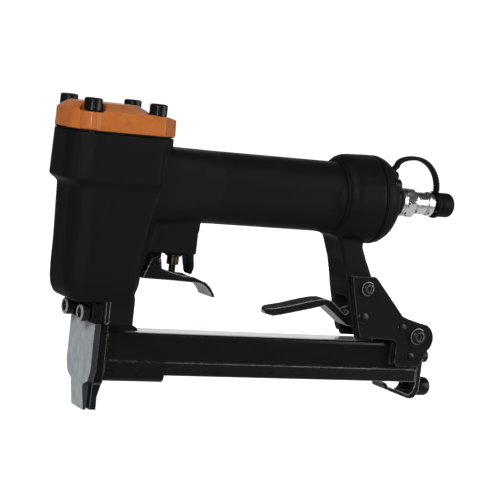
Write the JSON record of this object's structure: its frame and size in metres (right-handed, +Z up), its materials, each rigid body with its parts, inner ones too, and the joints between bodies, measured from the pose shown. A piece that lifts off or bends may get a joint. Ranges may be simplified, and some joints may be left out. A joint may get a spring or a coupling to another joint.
{
  "type": "pneumatic staple gun",
  "caption": "Hand-held air powered fine wire stapler: black cast body, orange cylinder cap, long magazine with a sliding staple rail, latch lever and quick-connect air plug.",
  "frame": {"origin": "on the nose's contact face, where the driver blade comes out, against the front of the rear guide", "axes": "+X back along the handle and magazine towards the air plug, +Z up the cylinder, +Y across the tool"},
  "size_m": [0.2206, 0.0454, 0.1485],
  "materials": {
    "black_paint": "satin black paint over a die casting",
    "orange_paint": "satin orange paint",
    "black_oxide_steel": "black oxide, lightly oiled",
    "ground_steel": "ground grey steel with brush marks",
    "chrome_plate": "bright plating",
    "black_rubber": "matt moulded rubber",
    "bronze_bush": "turned bronze",
    "bare_aluminium": "turned aluminium"
  },
  "bodies": {
    "gun": {"gun_housing": "black_paint", "end_cap": "black_paint", "hanger_plate_near": "black_paint", "hanger_plate_far": "black_paint", "saddle_block": "black_paint", "cylinder_cap": "orange_paint", "cap_screw_1": "black_oxide_steel", "cap_screw_2": "black_oxide_steel", "cap_screw_3": "black_oxide_steel", "cap_screw_4": "black_oxide_steel", "end_cap_screw_1": "black_oxide_steel", "end_cap_screw_2": "black_oxide_steel", "end_cap_screw_3": "black_oxide_steel", "strap_screw": "black_oxide_steel", "rear_guide": "black_oxide_steel", "guide_clamp": "black_oxide_steel", "nose_screw_1": "black_oxide_steel", "nose_screw_2": "black_oxide_steel", "magazine_channel": "black_oxide_steel", "magazine_front_block": "black_oxide_steel", "latch_pin": "black_oxide_steel", "leg_bolt": "black_oxide_steel", "leg_nut": "black_oxide_steel", "cross_bolt": "black_oxide_steel", "cross_nut": "black_oxide_steel", "lower_rivet_near": "black_oxide_steel", "lower_rivet_far": "black_oxide_steel", "upper_rivet_near": "black_oxide_steel", "upper_rivet_far": "black_oxide_steel", "front_guide_plate": "ground_steel", "trigger_pin": "ground_steel", "magazine_front_lug": "ground_steel", "air_plug": "chrome_plate", "cap_gasket": "black_rubber", "bumper": "black_rubber", "end_cap_gasket": "black_rubber", "valve_bush": "bronze_bush", "cylinder_liner": "bare_aluminium"},
    "trigger": {"trigger": "black_oxide_steel"},
    "valve": {"valve_stem": "ground_steel", "valve_spring": "ground_steel"},
    "piston": {"piston": "bare_aluminium", "piston_ring": "black_rubber", "driver_blade": "ground_steel"},
    "head_valve": {"head_valve": "bare_aluminium", "head_valve_spring": "black_oxide_steel"},
    "slide": {"staple_rail": "black_oxide_steel", "guide_rod": "ground_steel", "end_plate": "black_oxide_steel", "end_plate_screw": "black_oxide_steel", "pull_knob": "black_oxide_steel", "pusher_spring": "ground_steel"},
    "pusher": {"pusher": "ground_steel"},
    "latch": {"latch_lever": "black_oxide_steel", "latch_spring": "ground_steel"},
    "dust_cap": {"dust_cap": "black_rubber", "cap_strap": "black_rubber"}
  },
  "joints": [
    {"name": "trigger_pull", "type": "hinge", "parent": "gun", "child": "trigger", "pos_m": [0.026, 0, 0.073], "axis": [0, -1, 0], "range_deg": [0, 7.5], "stiffness_Nm_per_rad": 0.6, "springref_deg": -5.73},
    {"name": "valve_lift", "type": "slide", "parent": "gun", "child": "valve", "axis": [0, 0, 1], "range_m": [0, 0.0016], "deforming": ["valve_spring"]},
    {"name": "piston_stroke", "type": "slide", "parent": "gun", "child": "piston", "axis": [0, 0, -1], "range_m": [0, 0.0375]},
    {"name": "head_valve_lift", "type": "slide", "parent": "gun", "child": "head_valve", "axis": [0, 0, 1], "range_m": [0, 0.0034], "stiffness_N_per_m": 1200, "springref_m": -0.003, "deforming": ["head_valve_spring"]},
    {"name": "slide_open", "type": "slide", "parent": "gun", "child": "slide", "axis": [1, 0, 0], "range_m": [0, 0.1]},
    {"name": "pusher_back", "type": "slide", "parent": "slide", "child": "pusher", "axis": [1, 0, 0], "range_m": [0, 0.09], "stiffness_N_per_m": 60, "springref_m": -0.05, "deforming": ["pusher_spring"]},
    {"name": "latch_press", "type": "hinge", "parent": "gun", "child": "latch", "pos_m": [0.1415, 0, 0.0508], "axis": [0, -1, 0], "range_deg": [0, 10], "stiffness_Nm_per_rad": 0.5, "springref_deg": -8.59, "deforming": ["latch_spring"]},
    {"name": "dust_cap_pull", "type": "slide", "parent": "gun", "child": "dust_cap", "axis": [1, 0, 0], "range_m": [0, 0.012], "deforming": ["cap_strap"]}
  ],
  "couplings": [
    {"joint": "valve_lift", "follows": "trigger_pull", "m_per_rad": 0.012}
  ]
}
